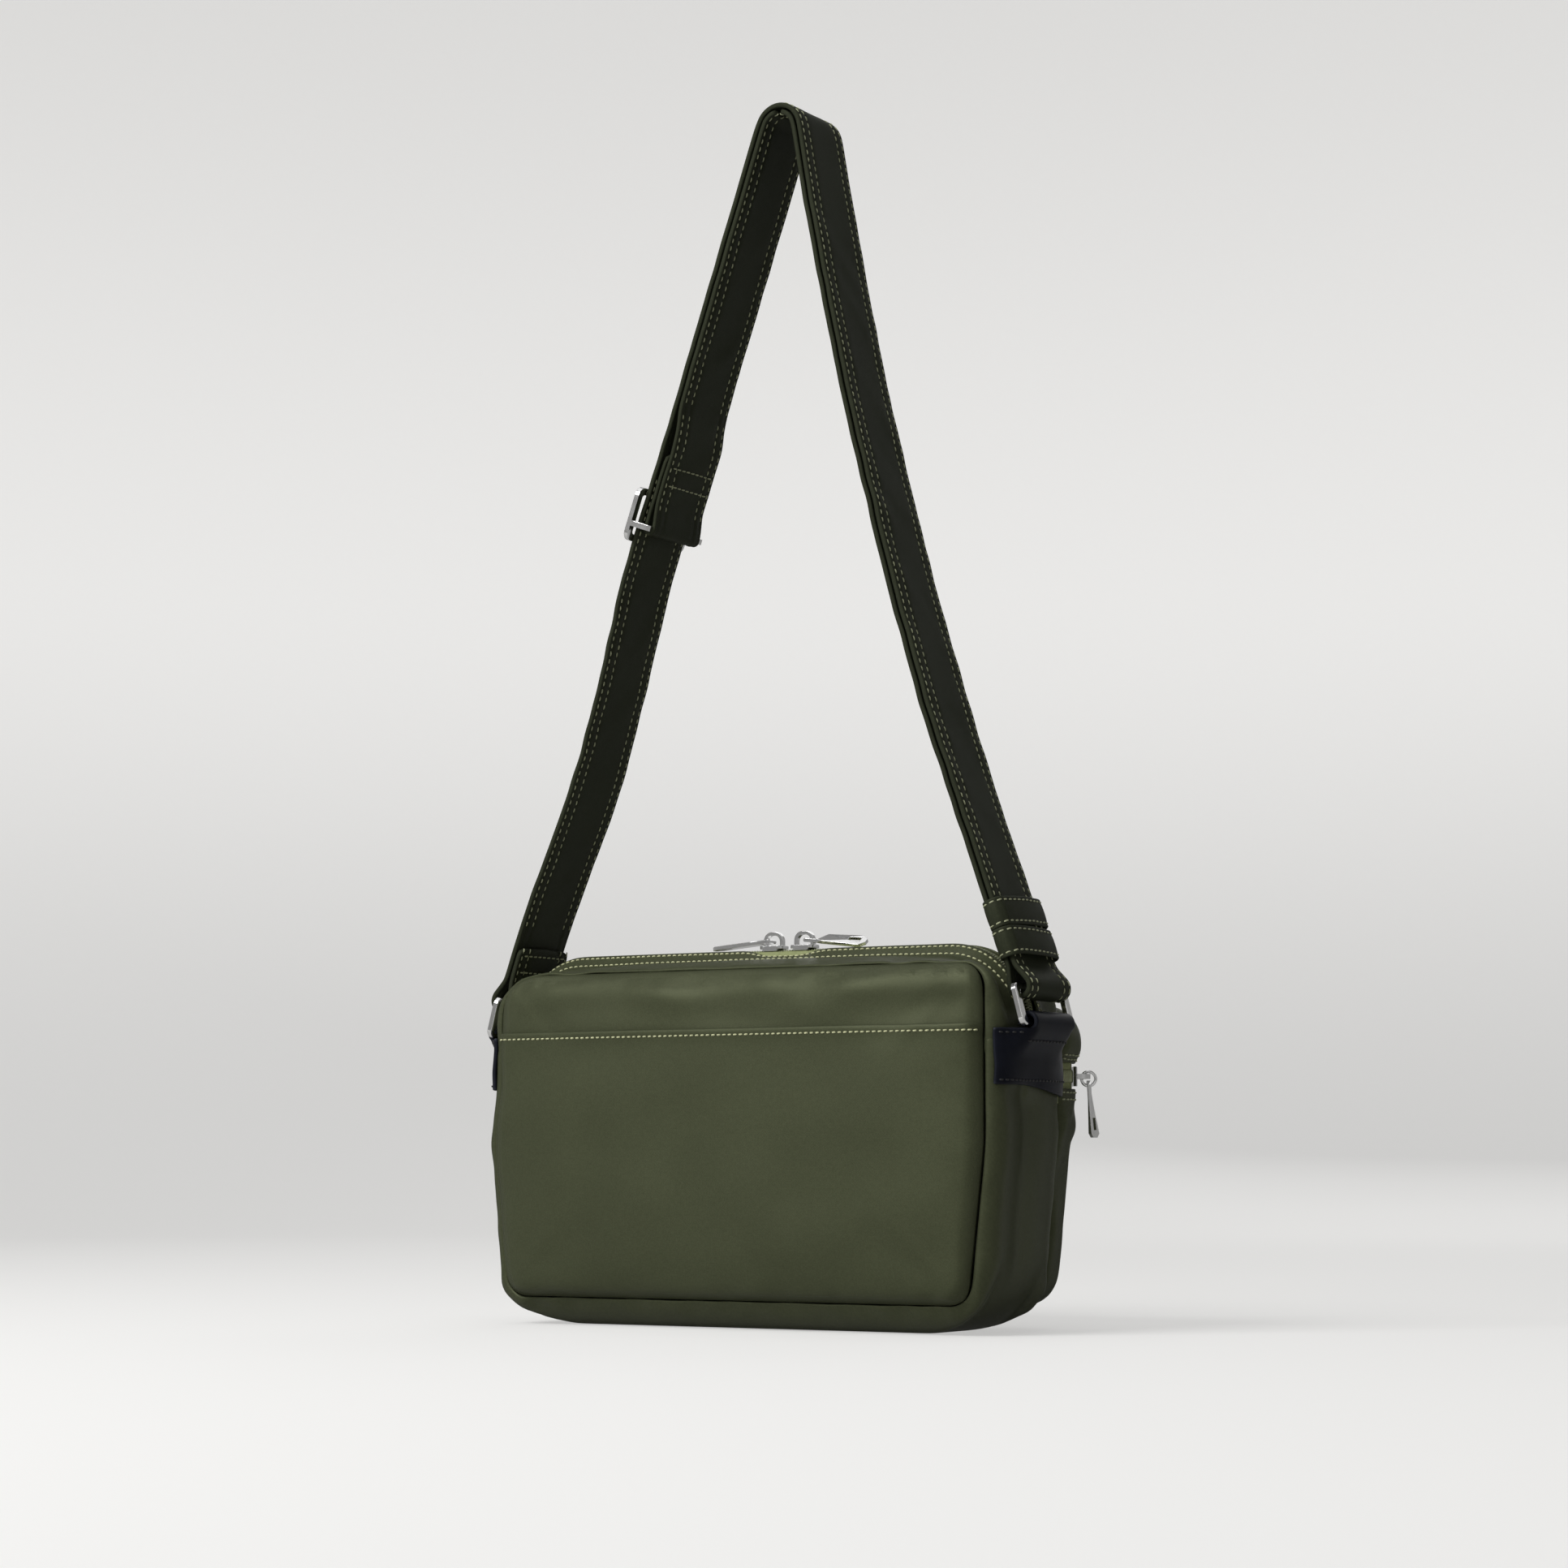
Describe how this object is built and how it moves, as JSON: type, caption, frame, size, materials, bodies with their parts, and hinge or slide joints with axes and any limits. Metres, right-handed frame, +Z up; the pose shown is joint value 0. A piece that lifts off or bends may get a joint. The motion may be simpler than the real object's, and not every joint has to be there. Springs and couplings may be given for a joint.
{
  "type": "crossbody purse",
  "caption": "Rectangular padded nylon crossbody purse with a wrap-over main zip, a wrap-around front pocket, a rear slip pocket and a doubled adjustable strap on side rings.",
  "frame": {"origin": "centre of the flat strip of the base, on the floor", "axes": "+Z up, +X to the end with the strap adjuster, -Y towards the zipped front pocket"},
  "size_m": [0.2868, 0.0982, 0.5495],
  "materials": {
    "shell_nylon": "satin olive nylon twill, lightly padded",
    "strap_fabric": "folded and topstitched olive nylon",
    "lining_fabric": "plain woven nylon",
    "binding_tape": "grosgrain tape",
    "padding_foam": "thin closed foam with a scrim",
    "base_card": "stiff plastic sheet",
    "zip_tape": "yellow-green woven tape",
    "zip_coil": "yellow-green nylon coil",
    "hardware": "polished silver plating",
    "tab_leather": "smooth dark navy leather"
  },
  "bodies": {
    "bag": {"back_panel": "shell_nylon", "back_pocket": "shell_nylon", "base_board": "base_card", "front_panel": "shell_nylon", "front_pocket_hood": "shell_nylon", "front_pocket_pouch": "shell_nylon", "inner_pocket": "lining_fabric", "leather_tab_left": "tab_leather", "leather_tab_right": "tab_leather", "lining": "lining_fabric", "main_gusset": "shell_nylon", "main_zip_coil_front": "zip_coil", "main_zip_coil_rear": "zip_coil", "main_zip_stops": "hardware", "main_zip_tape_front": "zip_tape", "main_zip_tape_rear": "zip_tape", "pocket_zip_coil_lower": "zip_coil", "pocket_zip_coil_upper": "zip_coil", "pocket_zip_stops": "hardware", "pocket_zip_tape_lower": "zip_tape", "pocket_zip_tape_upper": "zip_tape", "rear_padding": "padding_foam", "seam_binding_front": "binding_tape", "seam_binding_rear": "binding_tape", "strap_loop_left": "strap_fabric", "strap_loop_right": "strap_fabric", "top_band_front": "shell_nylon", "top_band_rear": "shell_nylon"},
    "ring_left": {"ring_left": "hardware"},
    "ring_right": {"ring_right": "hardware"},
    "main_slider_left": {"main_slider_left": "hardware"},
    "main_slider_right": {"main_slider_right": "hardware"},
    "main_pull_left": {"main_pull_left": "hardware"},
    "main_pull_right": {"main_pull_right": "hardware"},
    "pocket_slider": {"pocket_slider": "hardware"},
    "pocket_pull": {"pocket_pull_link": "hardware", "pocket_pull_tab": "hardware"},
    "strap": {"strap_outer_layer": "strap_fabric", "strap_inner_layer": "strap_fabric"},
    "adjuster": {"adjuster_frame": "hardware", "strap_sewn_end": "strap_fabric"},
    "keeper_upper": {"keeper_upper": "strap_fabric"},
    "keeper_lower": {"keeper_lower": "strap_fabric"}
  },
  "joints": [
    {"name": "ring_right_rock", "type": "hinge", "parent": "bag", "child": "ring_right", "pos_m": [0.1386, 0, 0.1315], "axis": [0, 1, 0], "range_deg": [-2, 6]},
    {"name": "ring_left_rock", "type": "hinge", "parent": "bag", "child": "ring_left", "pos_m": [-0.1386, 0, 0.1315], "axis": [0, -1, 0], "range_deg": [-2, 6]},
    {"name": "main_slider_right_travel", "type": "slide", "parent": "bag", "child": "main_slider_right", "axis": [1, 0, 0], "range_m": [0, 0.084]},
    {"name": "main_slider_left_travel", "type": "slide", "parent": "bag", "child": "main_slider_left", "axis": [-1, 0, 0], "range_m": [0, 0.07]},
    {"name": "main_pull_right_flip", "type": "hinge", "parent": "main_slider_right", "child": "main_pull_right", "pos_m": [-0.0001, 0, 0.1706], "axis": [0, -1, 0], "range_deg": [0, 105]},
    {"name": "main_pull_left_flip", "type": "hinge", "parent": "main_slider_left", "child": "main_pull_left", "pos_m": [-0.0199, 0, 0.1706], "axis": [0, 1, 0], "range_deg": [0, 105]},
    {"name": "pocket_slider_travel", "type": "hinge", "parent": "bag", "child": "pocket_slider", "pos_m": [-0.113, -0.046, 0.11], "axis": [0, 0, 1], "range_deg": [-24, 40]},
    {"name": "pocket_pull_swing", "type": "hinge", "parent": "pocket_slider", "child": "pocket_pull", "pos_m": [-0.12966, -0.05641, 0.11], "axis": [-0.5299, 0.848, 0], "range_deg": [-8, 110]},
    {"name": "strap_swing", "type": "hinge", "parent": "bag", "child": "strap", "pos_m": [0, 0, 0.25], "axis": [1, 0, 0], "range_deg": [-85, 85]},
    {"name": "adjuster_travel", "type": "slide", "parent": "strap", "child": "adjuster", "axis": [-0.3359, 0, 0.9419], "range_m": [-0.05, 0.03]},
    {"name": "keeper_upper_travel", "type": "slide", "parent": "bag", "child": "keeper_upper", "axis": [0.3453, 0, 0.9385], "range_m": [0, 0.03]},
    {"name": "keeper_lower_travel", "type": "slide", "parent": "bag", "child": "keeper_lower", "axis": [0.3453, 0, 0.9385], "range_m": [-0.0034, 0]}
  ]
}
